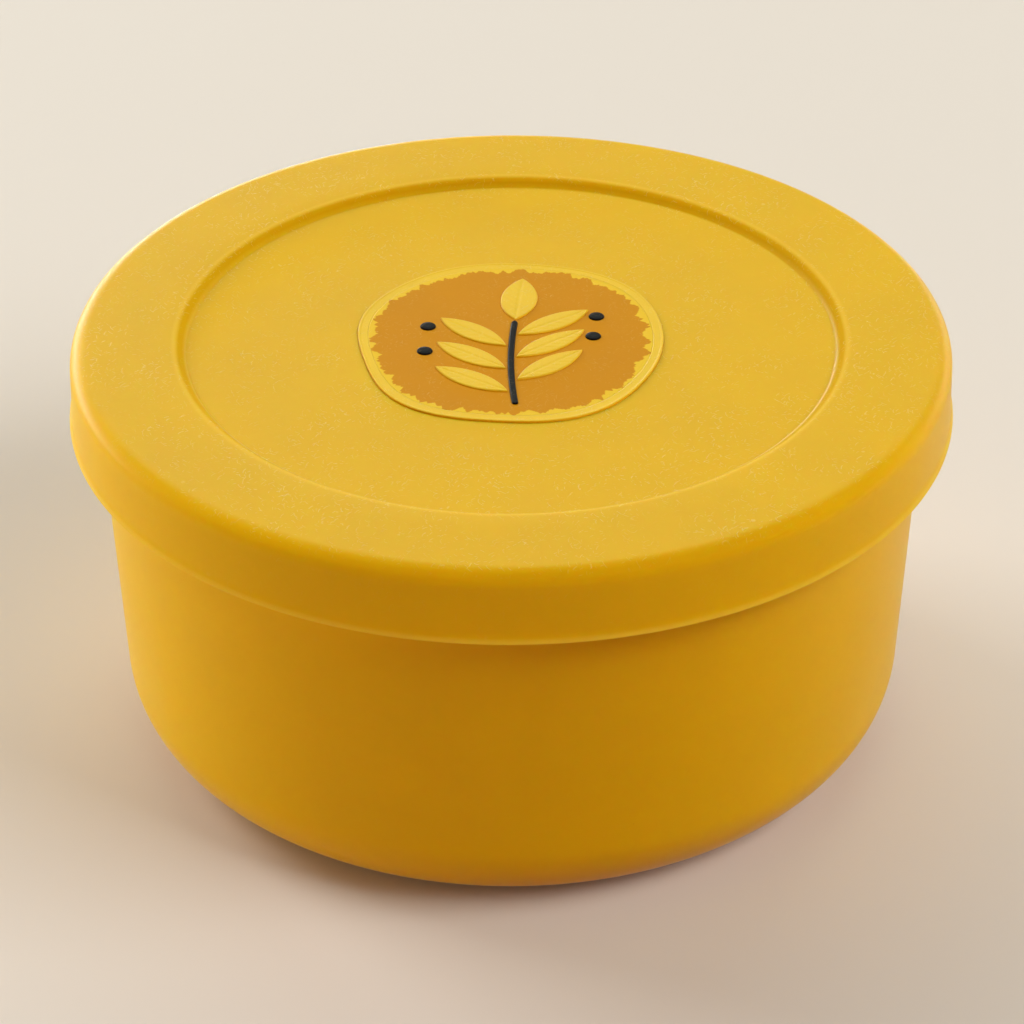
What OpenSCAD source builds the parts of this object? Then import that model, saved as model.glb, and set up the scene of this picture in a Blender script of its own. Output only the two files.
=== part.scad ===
// Toddler snack container: a round silicone bowl with a press-on lid.
// The lid carries a raised badge built from separate bonded layers.
// Origin: centre of the foot ring, on the surface that the bowl stands on. +Z up, the badge's top towards +Y.

/* [Bowl] */
// Height of the bowl's rim above the table
bowl_h = 57.8; // [45:0.2:90]
// Outer radius of the wall where it reaches the rim
wall_top_r = 57.8; // [56:0.1:75]
// Outer radius that the tapered wall would have at the table
wall_foot_r = 54.5; // [45:0.1:56]
// Thickness of the wall
wall_t = 2.6; // [2:0.1:3.5]
// Thickness of the floor inside the foot ring
floor_t = 2.2; // [1.8:0.1:4]
// Radius of the outer rounding between wall and foot
bottom_round = 12.3; // [6:0.1:16]
// How far the rim bead stands out of the wall
bead_out = 0.8; // [0.3:0.1:1.2]
// Height of the rim bead
bead_h = 4.0; // [3:0.1:5]
// Width of the flat ring that the bowl stands on
foot_ring_w = 7.0; // [3:0.5:12]
// Depth of the hollow inside the foot ring
foot_hollow = 0.8; // [0.4:0.1:1.2]

/* [Lid] */
// Thickness of the lid's top
lid_t = 2.2; // [1.8:0.1:3.5]
// Thickness of the skirt
skirt_t = 1.8; // [1.5:0.1:3]
// Depth of the skirt below the top of the lid
skirt_h = 10.5; // [9:0.1:16]
// Outward slope of the skirt over its depth
skirt_draft = 0.1; // [0:0.05:0.5]
// How far the lip at the foot of the skirt flares out
lip_flare = 0.4; // [0.1:0.05:0.6]
// Height of the flared lip
lip_h = 1.2; // [1:0.1:2]
// Radius of the rounding round the lid's top edge
top_round = 2.4; // [1:0.1:3]
// Radius of the recess's flat floor
recess_r = 44.9; // [30:0.1:47]
// Width of the slope up to the raised ring
recess_slope = 1.6; // [1.4:0.1:3]
// Depth of the recess
recess_depth = 1.3; // [0.8:0.05:1.6]
// Depth of the plug ring below the seat
plug_h = 5.5; // [4.5:0.1:8]
// Thickness of the plug ring
plug_t = 1.8; // [1.4:0.1:3]
// How far each sealing lip stands out of the plug ring
seal_out = 0.35; // [0.2:0.05:0.5]
// Number of sealing lips
seal_count = 2; // [1:1:3]

/* [Fits] */
// Radial gap between the sealing lips and the wall inside the bowl
seal_gap = 0.3; // [0.2:0.05:0.6]
// Radial gap between the rim bead and the snap bead in the skirt
snap_gap = 0.3; // [0.2:0.05:0.5]
// How far the snap bead stands out of the skirt's inner face
snap_out = 0.4; // [0.2:0.05:0.8]
// Gap at the sides of each bonded badge layer
inlay_gap = 0.05; // [0.02:0.01:0.15]

/* [Badge] */
// Radius of the backing patch
badge_r = 21.8; // [20.5:0.1:26]
// Width of the backing's pale border
border_w = 2.0; // [1.5:0.1:3]
// Depth of the lid's pocket that the backing sits in
badge_key = 0.4; // [0.2:0.1:0.8]
// How far the backing stands above the recess
badge_proud = 0.5; // [0.5:0.1:1.1]
// Thickness of the amber field
field_t = 0.5; // [0.4:0.05:0.6]
// Depth of the pockets in the field for the leaves, stem and berries
pad_key = 0.2; // [0.1:0.05:0.3]
// How far the leaves, stem and berries stand above the field
pad_proud = 0.3; // [0.2:0.05:0.5]
// Clear space between the ends of the sprig and the edge of the field
sprig_margin = 2.8; // [2:0.1:4]
// Length of the leaf at the tip of the sprig
tip_leaf_l = 11.6; // [9:0.2:13]
// Width of the leaf at the tip of the sprig
tip_leaf_w = 5.2; // [3.5:0.1:6]
// Length of the side leaves
side_leaf_l = 12.0; // [9:0.2:13]
// Angle between the stem and a side leaf
leaf_angle = 52; // [45:1:60]
// Space between two side leaves that are neighbours
leaf_space = 0.9; // [0.6:0.1:1.4]
// Distance along the stem from its foot to the first leaf
leaf_first = 2.4; // [1:0.1:4]
// Distance along the stem from the last side leaf to its tip
leaf_last = 3.8; // [3:0.1:5]
// Width of the stem
stem_w = 0.9; // [0.6:0.1:1.4]
// Radius of the curve that the stem follows
stem_bend_r = 110; // [80:1:300]
// Radius of a berry
berry_r = 1.1; // [0.7:0.1:1.2]
// Distance of a berry from the stem
berry_out = 13.8; // [13.4:0.1:14.5]

/* [Hidden] */
$fn = 180;

SILICONE = [0.89, 0.70, 0.21];
PALE = [0.93, 0.78, 0.31];
AMBER = [0.82, 0.56, 0.13];
CHARCOAL = [0.15, 0.15, 0.16];

SIDE_LEAVES = 6;
BERRIES = 4;
// Roundings of the moulded edges that are felt but hardly seen
FINE = 0.3;
SOFT = 0.6;
FULL = 1.2;
// Most that a rounded corner of an outline may stray from its true arc
CHORD_ERROR = 0.01;

// Bowl
wall_slope = (wall_top_r - wall_foot_r) / bowl_h;
bead_r = wall_top_r + bead_out;
bead_low_z = bowl_h - bead_h;
mouth_r = wall_top_r - wall_t;
foot_angle = 90 + atan(wall_slope);
foot_ring_r = wall_foot_r - bottom_round / tan(foot_angle / 2);
hollow_r = foot_ring_r - foot_ring_w;
inner_floor_z = foot_hollow + floor_t;
inner_round = bottom_round - wall_t;

// Lid
seat_z = bowl_h;
lid_top_z = seat_z + lid_t;
recess_z = lid_top_z - recess_depth;
recess_under_z = recess_z - lid_t;
recess_under_r = recess_r - recess_slope / 2;
skirt_low_z = lid_top_z - skirt_h;
snap_r = bead_r + snap_gap;
snap_high_z = skirt_low_z + lip_h;
skirt_in_r = snap_r + snap_out;
lid_r = skirt_in_r + skirt_t - skirt_draft;
skirt_low_r = lid_r + skirt_draft;
lip_r = skirt_low_r + lip_flare;
plug_low_z = seat_z - plug_h;
plug_r = wall_r(plug_low_z) - wall_t - seal_gap - seal_out;
seal_pitch = plug_h / (seal_count + 1);

// Badge
pocket_z = recess_z - badge_key;
badge_top_z = recess_z + badge_proud;
field_r = badge_r - border_w;
field_z = badge_top_z - field_t;
pad_z = badge_top_z - pad_key;
pad_t = pad_key + pad_proud;

// Sprig
leaf_off = stem_w;
stem_l = 2 * (field_r - sprig_margin) - tip_leaf_l - leaf_off;
stem_centre = [stem_bend_r, stem_l / 2 - field_r + sprig_margin];
leaf_pitch = (stem_l - leaf_first - leaf_last) / (SIDE_LEAVES - 1);
side_leaf_w = 2 * leaf_pitch * sin(leaf_angle) - leaf_space;

// Outer radius of the bowl's wall at height z
function wall_r(z) = wall_foot_r + wall_slope * z;

function unit(v) = v / norm(v);

// The corner b between the sides to a and c, rounded to radius r
function corner(a, b, c, r) =
    r == 0 ? [b] :
    let (to_a = unit(a - b), to_c = unit(c - b), half = acos(to_a * to_c) / 2,
        centre = b + unit(to_a + to_c) * r / sin(half),
        from = b + to_a * r / tan(half) - centre,
        to = b + to_c * r / tan(half) - centre,
        start = atan2(from.y, from.x),
        turn = atan2(from.x * to.y - from.y * to.x, from * to),
        steps = ceil(abs(turn) / (2 * acos(1 - CHORD_ERROR / r))))
    [for (i = [0:steps]) let (t = start + turn * i / steps) centre + r * [cos(t), sin(t)]];

// An outline of [x, y, corner radius] points, with its corners rounded
function rounded(outline) =
    let (n = len(outline), flat = [for (p = outline) [p.x, p.y]])
    [for (i = [0:n - 1]) each corner(flat[(i + n - 1) % n], flat[i], flat[(i + 1) % n], outline[i].z)];

module turned(outline) {
    rotate_extrude() polygon(rounded(outline));
}

// Cup with a foot ring, a tapered wall and a bead round the rim
module bowl() {
    color(SILICONE) turned([
        [0, foot_hollow, 0],
        [hollow_r - foot_hollow, foot_hollow, FINE],
        [hollow_r, 0, FINE],
        [wall_foot_r, 0, bottom_round],
        [wall_r(bead_low_z), bead_low_z, SOFT],
        [bead_r, bead_low_z + bead_out, SOFT],
        [bead_r, bowl_h, FULL],
        [mouth_r, bowl_h, SOFT],
        [wall_r(inner_floor_z) - wall_t, inner_floor_z, inner_round],
        [0, inner_floor_z, 0]]);
}

// A bump round the plug ring that presses on the wall inside the bowl
function seal_lip(z) = [
    [plug_r, z + seal_out, 0],
    [plug_r + seal_out, z, seal_out / 2],
    [plug_r, z - seal_out, 0]];

// Cap with a recessed top, a skirt outside the bowl's rim and a plug ring inside it
module lid() {
    color(SILICONE) difference() {
        turned([
            [0, recess_z, 0],
            [recess_r, recess_z, FULL],
            [recess_r + recess_slope, lid_top_z, SOFT],
            [lid_r, lid_top_z, top_round],
            [skirt_low_r, skirt_low_z + lip_h, FINE],
            [lip_r, skirt_low_z + lip_h / 2, FINE],
            [lip_r, skirt_low_z, FINE],
            [snap_r, skirt_low_z, FINE],
            [snap_r, snap_high_z, FINE],
            [skirt_in_r, snap_high_z + snap_out, FINE],
            [skirt_in_r, seat_z, FINE],
            [plug_r, seat_z, FINE],
            each [for (i = [1:seal_count]) each seal_lip(seat_z - seal_pitch * i)],
            [plug_r, plug_low_z, SOFT],
            [plug_r - plug_t, plug_low_z, SOFT],
            [plug_r - plug_t, seat_z, SOFT],
            [recess_under_r + recess_slope, seat_z, SOFT],
            [recess_under_r, recess_under_z, SOFT],
            [0, recess_under_z, 0]]);
        translate([0, 0, pocket_z]) cylinder(r = badge_r + inlay_gap, h = lid_t);
    }
}

// Raised patch with a pocket for the amber field
module badge_backing() {
    color(PALE) turned([
        [0, pocket_z, 0],
        [badge_r, pocket_z, 0],
        [badge_r, badge_top_z, SOFT],
        [field_r + inlay_gap, badge_top_z, 0],
        [field_r + inlay_gap, field_z, 0],
        [0, field_z, 0]]);
}

// Amber disc, with shallow pockets for everything that is bonded to it
module badge_field() {
    color(AMBER) difference() {
        translate([0, 0, field_z]) cylinder(r = field_r, h = field_t);
        translate([0, 0, pad_z]) linear_extrude(field_t) {
            stem_shape(inlay_gap);
            for (i = [1:SIDE_LEAVES + 1]) leaf_shape(i, inlay_gap);
            for (i = [1:BERRIES]) berry_place(i) circle(r = berry_r + inlay_gap);
        }
    }
}

// The stem's heading at distance s from its foot: 0 is +Y, clockwise is positive
function stem_heading(s) = (s - stem_l / 2) / stem_bend_r * 180 / PI;
function stem_spoke(s) = [-cos(stem_heading(s)), sin(stem_heading(s))];
function stem_point(s) = stem_centre + stem_bend_r * stem_spoke(s);

// Puts a shape that grows along +Y beside the stem, on the left for side 1 and on the right for side -1
module beside_stem(s, side) {
    translate(stem_point(s)) rotate(side * leaf_angle - stem_heading(s)) translate([0, leaf_off]) children();
}

// Side leaves and berries climb the stem, left and right in turn
function side_leaf_s(i) = leaf_first + leaf_pitch * (i - 1);
function side_of(i) = i % 2 == 1 ? 1 : -1;

module stem_shape(gap) {
    half_w = stem_w / 2 + gap;
    reach = 2 * stem_bend_r;
    intersection() {
        translate(stem_centre) difference() {
            circle(r = stem_bend_r + half_w);
            circle(r = stem_bend_r - half_w);
        }
        polygon([stem_centre, stem_centre + reach * stem_spoke(0), stem_centre + reach * stem_spoke(stem_l)]);
    }
    for (s = [0, stem_l]) translate(stem_point(s)) circle(r = half_w);
}

// Where two circles overlap: a leaf with its base at the origin and its tip on +Y
module leaf_outline(length, width, gap) {
    r = (pow(length, 2) + pow(width, 2)) / (4 * width);
    intersection() {
        translate([r - width / 2, length / 2]) circle(r = r + gap);
        translate([width / 2 - r, length / 2]) circle(r = r + gap);
    }
}

module leaf_shape(i, gap) {
    if (i > SIDE_LEAVES) beside_stem(stem_l, 0) leaf_outline(tip_leaf_l, tip_leaf_w, gap);
    else beside_stem(side_leaf_s(i), side_of(i)) leaf_outline(side_leaf_l, side_leaf_w, gap);
}

// A berry lies between the tips of leaf i and the next leaf on its side
module berry_place(i) {
    beside_stem(side_leaf_s(i + 1), side_of(i)) translate([0, berry_out]) children();
}

module badge_leaf(i) {
    color(PALE) translate([0, 0, pad_z]) linear_extrude(pad_t) leaf_shape(i, 0);
}

module badge_stem() {
    color(CHARCOAL) translate([0, 0, pad_z]) linear_extrude(pad_t) stem_shape(0);
}

module badge_berry(i) {
    color(CHARCOAL) translate([0, 0, pad_z]) berry_place(i)
        turned([[0, 0, 0], [berry_r, 0, 0], [berry_r, pad_t, FINE], [0, pad_t, 0]]);
}

bowl();
lid();
badge_backing();
badge_field();
badge_stem();
for (i = [1:SIDE_LEAVES + 1]) badge_leaf(i);
for (i = [1:BERRIES]) badge_berry(i);
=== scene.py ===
"""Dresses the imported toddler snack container: a round silicone bowl with a press-on lid and a raised badge."""

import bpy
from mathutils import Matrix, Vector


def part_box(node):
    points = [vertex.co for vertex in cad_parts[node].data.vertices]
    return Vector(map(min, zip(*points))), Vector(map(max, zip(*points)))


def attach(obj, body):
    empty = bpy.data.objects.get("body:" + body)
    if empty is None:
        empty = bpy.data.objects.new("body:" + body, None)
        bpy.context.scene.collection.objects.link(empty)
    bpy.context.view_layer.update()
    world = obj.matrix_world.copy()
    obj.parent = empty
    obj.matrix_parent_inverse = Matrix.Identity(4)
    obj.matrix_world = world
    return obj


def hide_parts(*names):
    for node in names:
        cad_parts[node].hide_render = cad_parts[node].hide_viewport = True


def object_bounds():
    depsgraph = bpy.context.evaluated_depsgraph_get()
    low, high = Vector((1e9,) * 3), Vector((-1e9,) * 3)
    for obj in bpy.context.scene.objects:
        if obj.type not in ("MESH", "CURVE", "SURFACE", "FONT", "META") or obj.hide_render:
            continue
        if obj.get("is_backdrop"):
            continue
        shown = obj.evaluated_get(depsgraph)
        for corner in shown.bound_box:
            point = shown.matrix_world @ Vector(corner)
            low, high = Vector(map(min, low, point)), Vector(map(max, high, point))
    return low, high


bl_info = {
    "name": "Snack container",
    "version": (1, 0, 0),
    "blender": (4, 5, 0),
    "location": "3D View > Sidebar > Snack container",
    "description": "Builds a round silicone snack bowl, its press-on lid and the raised badge on the lid",
    "category": "Add Mesh",
}

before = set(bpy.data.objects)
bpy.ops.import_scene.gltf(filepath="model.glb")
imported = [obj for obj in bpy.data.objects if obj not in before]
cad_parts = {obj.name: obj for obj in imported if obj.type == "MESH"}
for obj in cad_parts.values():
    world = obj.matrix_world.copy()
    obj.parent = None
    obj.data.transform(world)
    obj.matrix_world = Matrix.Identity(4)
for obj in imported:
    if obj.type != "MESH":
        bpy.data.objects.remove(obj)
CAD_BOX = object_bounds()

import math
from typing import NamedTuple

import bpy
import numpy as np
from bpy.props import FloatProperty, FloatVectorProperty, IntProperty, PointerProperty
from mathutils import Matrix, Vector

MM = 0.001
BOWL_BOX, LID_BOX, PATCH_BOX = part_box("bowl"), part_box("lid"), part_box("badge_backing")
FIELD_BOX, LEAF_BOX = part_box("badge_field"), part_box("badge_leaf_7")
SIDE_LEAVES, BERRIES = 6, 4
BOWL_BODY, LID_BODY = "bowl_body", "lid_body"


def linear(red, green, blue):
    """A colour as a screen shows it, 0 to 255, in the linear light that shaders use."""
    parts = (red / 255, green / 255, blue / 255)
    return [c / 12.92 if c <= 0.04045 else ((c + 0.055) / 1.055) ** 2.4 for c in parts]


def length(name, description, default):
    """A size in metres that a user can change."""
    return FloatProperty(
        name=name, description=description, default=default, min=0, soft_max=4 * default, precision=5,
        unit="LENGTH"
    )


def share(name, description, default):
    """A share between 0 and 1 that a user can change."""
    return FloatProperty(name=name, description=description, default=default, min=0, max=1, subtype="FACTOR")


def amount(name, description, default):
    """A plain number that a user can change."""
    return FloatProperty(name=name, description=description, default=default, min=0)


def colour(name, description, default):
    """A colour that a user can change."""
    return FloatVectorProperty(
        name=name, description=description, default=default, size=3, min=0, max=1, subtype="COLOR"
    )


class BowlSizes(bpy.types.PropertyGroup):
    """Sizes of the bowl"""

    height: length("Height", "Height of the rim above the table", BOWL_BOX[1].z)
    wall_top: length("Wall at rim", "Outer radius of the wall where it reaches the rim", 57.8 * MM)
    wall_foot: length("Wall at foot", "Outer radius that the tapered wall would have at the table", 54.5 * MM)
    wall: length("Wall", "Thickness of the wall", 2.6 * MM)
    floor: length("Floor", "Thickness of the floor inside the foot ring", 2.2 * MM)
    foot_round: length("Foot rounding", "Radius of the rounding between wall and foot", 12.3 * MM)
    bead: length("Bead", "How far the rim bead stands out of the wall", 0.8 * MM)
    bead_height: length("Bead height", "Height of the rim bead", 4 * MM)
    foot_ring: length("Foot ring", "Width of the flat ring that the bowl stands on", 7 * MM)
    hollow: length("Hollow", "Depth of the hollow inside the foot ring", 0.8 * MM)


class LidSizes(bpy.types.PropertyGroup):
    """Sizes of the lid"""

    top: length("Top", "Height of the lid's raised ring above the table", LID_BOX[1].z)
    lip: length("Lip radius", "Outer radius of the flared lip at the foot of the skirt", LID_BOX[1].x)
    skirt_foot: length("Skirt foot", "Height of the skirt's lower edge above the table", 49.5 * MM)
    skirt: length("Skirt", "Thickness of the skirt", 1.8 * MM)
    flare: length("Flare", "How far the lip flares out of the skirt", 0.4 * MM)
    flare_height: length("Flare height", "Height over which the skirt curves out to its lip", 1.8 * MM)
    draft: length("Draft", "Outward slope of the skirt over its depth", 0.1 * MM)
    plate: length("Plate", "Thickness of the lid's top", 2.2 * MM)
    edge_round: length("Edge rounding", "Radius of the rounding round the top edge", 2.4 * MM)
    recess: length("Recess", "Radius of the recess's flat floor", 44.9 * MM)
    recess_slope: length("Recess slope", "Width of the slope up to the raised ring", 1.6 * MM)
    recess_belly: length("Slope belly", "How far the middle of the slope bulges up", 0.2 * MM)
    shoulder: length("Shoulder", "Width over which the ring sinks towards the recess", 2.5 * MM)
    sink: length("Sink", "How far the ring sinks towards the recess", 0.12 * MM)
    recess_depth: length("Recess depth", "Depth of the recess", 1.3 * MM)
    snap: length("Snap bead", "Inner radius of the bead that snaps under the bowl's rim", 58.9 * MM)
    snap_height: length("Snap height", "Height of the snap bead's flat inner face", 1.2 * MM)
    plug: length("Plug", "Outer radius of the plug ring that goes into the bowl", 54.236 * MM)
    plug_wall: length("Plug wall", "Thickness of the plug ring", 1.8 * MM)
    plug_depth: length("Plug depth", "Depth of the plug ring below the seat", 5.5 * MM)
    seal: length("Seal", "How far each sealing lip stands out of the plug ring", 0.35 * MM)


class BadgeSizes(bpy.types.PropertyGroup):
    """Sizes of the badge and its sprig"""

    patch: length("Patch", "Radius of the pale patch", PATCH_BOX[1].x)
    foot: length("Foot", "Height of the patch's underside above the table", PATCH_BOX[0].z)
    top: length("Top", "Height of the patch's rim above the table", PATCH_BOX[1].z - 0.18 * MM)
    rim: length("Rim", "Width of the patch's raised rim", 0.3 * MM)
    rim_height: length("Rim height", "How far the rim stands above the pale border", 0.06 * MM)
    field: length("Field", "Radius of the amber field", FIELD_BOX[1].x + 0.5 * MM)
    field_foot: length("Field foot", "Height of the field's underside above the table", FIELD_BOX[0].z)
    pad_foot: length("Pad foot", "Height of the underside of the sprig's pieces", LEAF_BOX[0].z - 0.16 * MM)
    pad_top: length("Pad top", "Height of the top of the sprig's pieces", LEAF_BOX[1].z - 0.26 * MM)
    pad_round: length("Pad rounding", "Radius of the rounding along the edge of a leaf", 0.26 * MM)
    tip_leaf: length("Tip leaf length", "Length of the leaf at the tip of the sprig", 11.6 * MM)
    tip_leaf_width: length("Tip leaf width", "Width of the leaf at the tip of the sprig", 5.2 * MM)
    side_leaf: length("Side leaf length", "Length of a side leaf", 12 * MM)
    side_leaf_width: length("Side leaf width", "Width of a side leaf", 3.923 * MM)
    leaf_angle: FloatProperty(
        name="Leaf angle", description="Angle between the stem and a side leaf", default=math.radians(52),
        subtype="ANGLE"
    )
    first_leaf: length("First leaf", "Distance along the stem from its foot to the first leaf", 2.4 * MM)
    leaf_pitch: length("Leaf pitch", "Distance along the stem between two leaves", 3.06 * MM)
    stem: length("Stem", "Length of the stem", 21.5 * MM)
    stem_width: length("Stem width", "Width of the stem", 0.9 * MM)
    stem_bend: length("Stem bend", "Radius of the curve that the stem follows", 110 * MM)
    stem_margin: length("Stem margin", "Distance from the field's edge to the foot of the stem", 3.3 * MM)
    berry: length("Berry", "Radius of a berry", 1.1 * MM)
    berry_out: length("Berry distance", "Distance of a berry from the stem", 13.8 * MM)


class RubberLook(bpy.types.PropertyGroup):
    """Colours and finish of the silicone"""

    body: colour("Body", "Colour of bowl and lid", linear(233, 183, 7))
    amber: colour("Amber", "Colour of the badge's field", linear(212, 142, 0))
    pale: colour("Pale", "Colour of the patch and the leaves", linear(243, 199, 44))
    charcoal: colour("Charcoal", "Colour of the stem and the berries", linear(26, 24, 22))
    # Painted highlight, not wear: this pale colour along the crest and the lid's lip stands in for the light
    # they catch
    crest: colour("Crest", "Colour of the crest between ring and recess, worn pale", linear(255, 212, 86))
    # Painted shade: this deeper colour on the recess's slope stands in for the shade in that hollow
    hollow: colour("Hollow tint", "Deeper colour of the recess's slope", linear(206, 140, 1))
    # Painted glow: this colour on the lid's rounded edge and on the sides of patch and leaves stands in for
    # light shining through
    edge: colour("Edge", "Colour of the lid's rounded edge, where light shines through", linear(246, 171, 4))
    dust_tint: colour("Dust", "Colour of dust and lint", linear(250, 224, 140))
    roughness: share("Roughness", "How matt the silicone is", 0.42)
    gloss: share("Gloss", "Strength of the reflections seen straight on", 0.22)
    sheen: share("Sheen", "Strength of the powdery sheen at grazing angles", 0.2)
    glow: share("Glow", "Share of the light that spreads inside the rubber", 0.55)
    glow_reach: length("Glow reach", "How far the light spreads inside the rubber", 2.2 * MM)
    mottle: share("Mottle", "Strength of the faint cloudy colour change", 0.05)
    grain: amount("Grain", "Height in mm of the fine moulded grain", 0.006)
    waver: length("Waver", "How far the soft rubber strays from a true circle", 0.05 * MM)


class StageLook(bpy.types.PropertyGroup):
    """Floor, lamps and camera"""

    floor: colour("Floor", "Colour of the plain floor", linear(230, 221, 210))
    bounce: colour("Floor bounce", "Colour of the light that the floor throws back", linear(187, 136, 94))
    ambient: amount("Ambient", "Strength of the even light from all round", 0.17)
    back: amount("Back lamp", "Light of the wide lamp high at the back", 0.34)
    horizon: amount("Horizon lamp", "Light of the flat lamp low at the back on the left", 0.2)
    left_window: amount("Left window", "Light of the large lamp on the left", 0.6)
    right_window: amount("Right window", "Light of the large lamp on the right", 0.63)
    left_gleam: amount("Left gleam", "Light of the bright backdrop mirrored at the left edge", 1.3)
    right_gleam: amount("Right gleam", "Light of the bright backdrop mirrored at the right edge", 0.25)
    left_fill: amount("Left fill", "Light of the low lamp on the left", 0.25)
    left_front_fill: amount("Left front fill", "Light of the low lamp at the front on the left", 0.2)
    right_fill: amount("Right fill", "Light of the low lamp on the right", 0.15)
    camera_distance: length("Camera distance", "Distance from the camera to the point it looks at", 624.38 * MM)
    camera_height: FloatProperty(
        name="Camera angle", description="Angle of the camera above the horizon", default=math.radians(32.395),
        subtype="ANGLE"
    )
    camera_roll: FloatProperty(
        name="Camera roll", description="Tilt of the camera about its own line of sight",
        default=math.radians(-0.257), subtype="ANGLE"
    )
    lens: FloatProperty(
        name="Lens", description="Focal length of the camera", default=154.69, unit="CAMERA", min=1
    )


class SnackContainer(bpy.types.PropertyGroup):
    """Everything that a user can change about the container"""

    bowl: PointerProperty(type=BowlSizes, name="Bowl", description="Sizes of the bowl")
    lid: PointerProperty(type=LidSizes, name="Lid", description="Sizes of the lid")
    badge: PointerProperty(type=BadgeSizes, name="Badge", description="Sizes of the badge")
    rubber: PointerProperty(type=RubberLook, name="Silicone", description="Colours and finish")
    stage: PointerProperty(type=StageLook, name="Stage", description="Floor, lamps and camera")
    segments: IntProperty(
        name="Segments", description="Number of faces round a turned piece", default=288, min=48, max=720
    )


# Outlines and meshes

GUARD = 0.12 * MM  # a row of points this near a rounding keeps the flat beside it flat
LONGEST = 1.6 * MM  # the longest step along an outline
ARC_STEP = 0.35 * MM
LEAST_ARC_STEPS = 7


def unit(v):
    return v / np.linalg.norm(v)


def corner_points(before, at, after, radius):
    """The points that round one corner of an outline to a radius."""
    if radius == 0:
        return [at]
    to_before, to_after = unit(before - at), unit(after - at)
    half = math.acos(float(np.clip(to_before @ to_after, -1, 1))) / 2
    centre = at + unit(to_before + to_after) * radius / math.sin(half)
    first = at + to_before * radius / math.tan(half) - centre
    last = at + to_after * radius / math.tan(half) - centre
    start = math.atan2(first[1], first[0])
    turn = math.atan2(first[0] * last[1] - first[1] * last[0], first @ last)
    steps = max(LEAST_ARC_STEPS, math.ceil(abs(turn) * radius / ARC_STEP))
    return [
        centre + radius * np.array([math.cos(start + turn * i / steps), math.sin(start + turn * i / steps)])
        for i in range(steps + 1)
    ]


def rounded(corners):
    """An outline from the axis to the axis, through [radius, height, rounding] corners."""
    flat = [np.array(c[:2], float) for c in corners]
    points = [flat[0]]
    for i in range(1, len(corners) - 1):
        points += corner_points(flat[i - 1], flat[i], flat[i + 1], corners[i][2])
    return points + [flat[-1]]


def stepped(points):
    """The outline with its long straight stretches cut into short steps."""
    made = [points[0]]
    for start, end in zip(points, points[1:]):
        run = np.linalg.norm(end - start)
        cuts = []
        if run > 4 * GUARD:
            steps = max(1, math.ceil((run - 2 * GUARD) / LONGEST))
            cuts = [GUARD + (run - 2 * GUARD) * i / steps for i in range(steps + 1)]
        made += [start + (end - start) * cut / run for cut in cuts] + [end]
    return made


def skin(name, rings):
    """A closed smooth mesh through rings of points. A ring of one point closes an end."""
    points = np.concatenate(rings)
    starts = np.cumsum([0] + [len(ring) for ring in rings])
    faces = []
    for low, high, first, second in zip(starts, starts[1:], rings, rings[1:]):
        count = max(len(first), len(second))
        for i in range(count):
            j = (i + 1) % count
            if len(first) == 1:
                faces.append((low, high + j, high + i))
            elif len(second) == 1:
                faces.append((low + i, low + j, high))
            else:
                faces.append((low + i, low + j, high + j, high + i))
    triangles = np.array([(f[0], f[k], f[k + 1]) for f in faces for k in range(1, len(f) - 1)])
    a, b, c = (points[triangles[:, k]] for k in range(3))
    if (a * np.cross(b, c)).sum() < 0:
        faces = [tuple(reversed(f)) for f in faces]
    mesh = bpy.data.meshes.new(name)
    mesh.from_pydata(points.tolist(), [], faces)
    mesh.polygons.foreach_set("use_smooth", np.ones(len(faces), bool))
    mesh.update()
    piece = bpy.data.objects.new(name, mesh)
    bpy.context.scene.collection.objects.link(piece)
    return piece


def turned(name, corners, segments, waver=None):
    """A piece turned about the axis. waver gives how far each point of a ring strays out and up."""
    angle = np.arange(segments) * math.tau / segments
    rings = []
    for radius, height in stepped(rounded(corners)):
        if radius < GUARD / 2:
            rings.append(np.array([[0, 0, height]]))
            continue
        out, up = waver(angle, radius, height) if waver else (0, 0)
        rings.append(np.stack([
            (radius + out) * np.cos(angle), (radius + out) * np.sin(angle), height + up + 0 * angle
        ], 1))
    return skin(name, rings)


def ripple(angle, waves):
    """A sum of waves round a circle, from (count, share, phase), always between -1 and 1."""
    total = sum(part for _, part, _ in waves)
    return sum(part * np.cos(count * angle + phase) for count, part, phase in waves) / total


def dress(piece, material, body, slot, *nodes):
    """Gives a finished piece its material and its body, and hides the CAD nodes that it stands for."""
    piece.data.materials.append(material)
    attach(piece, body)
    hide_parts(*nodes)


# Materials

class Wire:
    """An output socket that Python expressions can use: each operation adds a Math node."""

    def __init__(self, nodes, socket):
        self.nodes, self.socket = nodes, socket

    def __add__(self, other):
        return self.nodes.maths("ADD", self, other)

    def __sub__(self, other):
        return self.nodes.maths("SUBTRACT", self, other)

    def __rsub__(self, other):
        return self.nodes.maths("SUBTRACT", other, self)

    def __mul__(self, other):
        return self.nodes.maths("MULTIPLY", self, other)

    def __truediv__(self, other):
        return self.nodes.maths("DIVIDE", self, other)

    def __abs__(self):
        return self.nodes.maths("ABSOLUTE", self)

    def clamped(self):
        return self.nodes.maths("ADD", self, 0, clamp=True)

    def ramp(self, low, high):
        """0 up to low, 1 from high on, and an even rise between."""
        return ((self - low) / (high - low)).clamped()

    def also(self, output):
        """Another output of the same node."""
        return Wire(self.nodes, self.socket.node.outputs[output])

    __radd__, __rmul__ = __add__, __mul__


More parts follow.
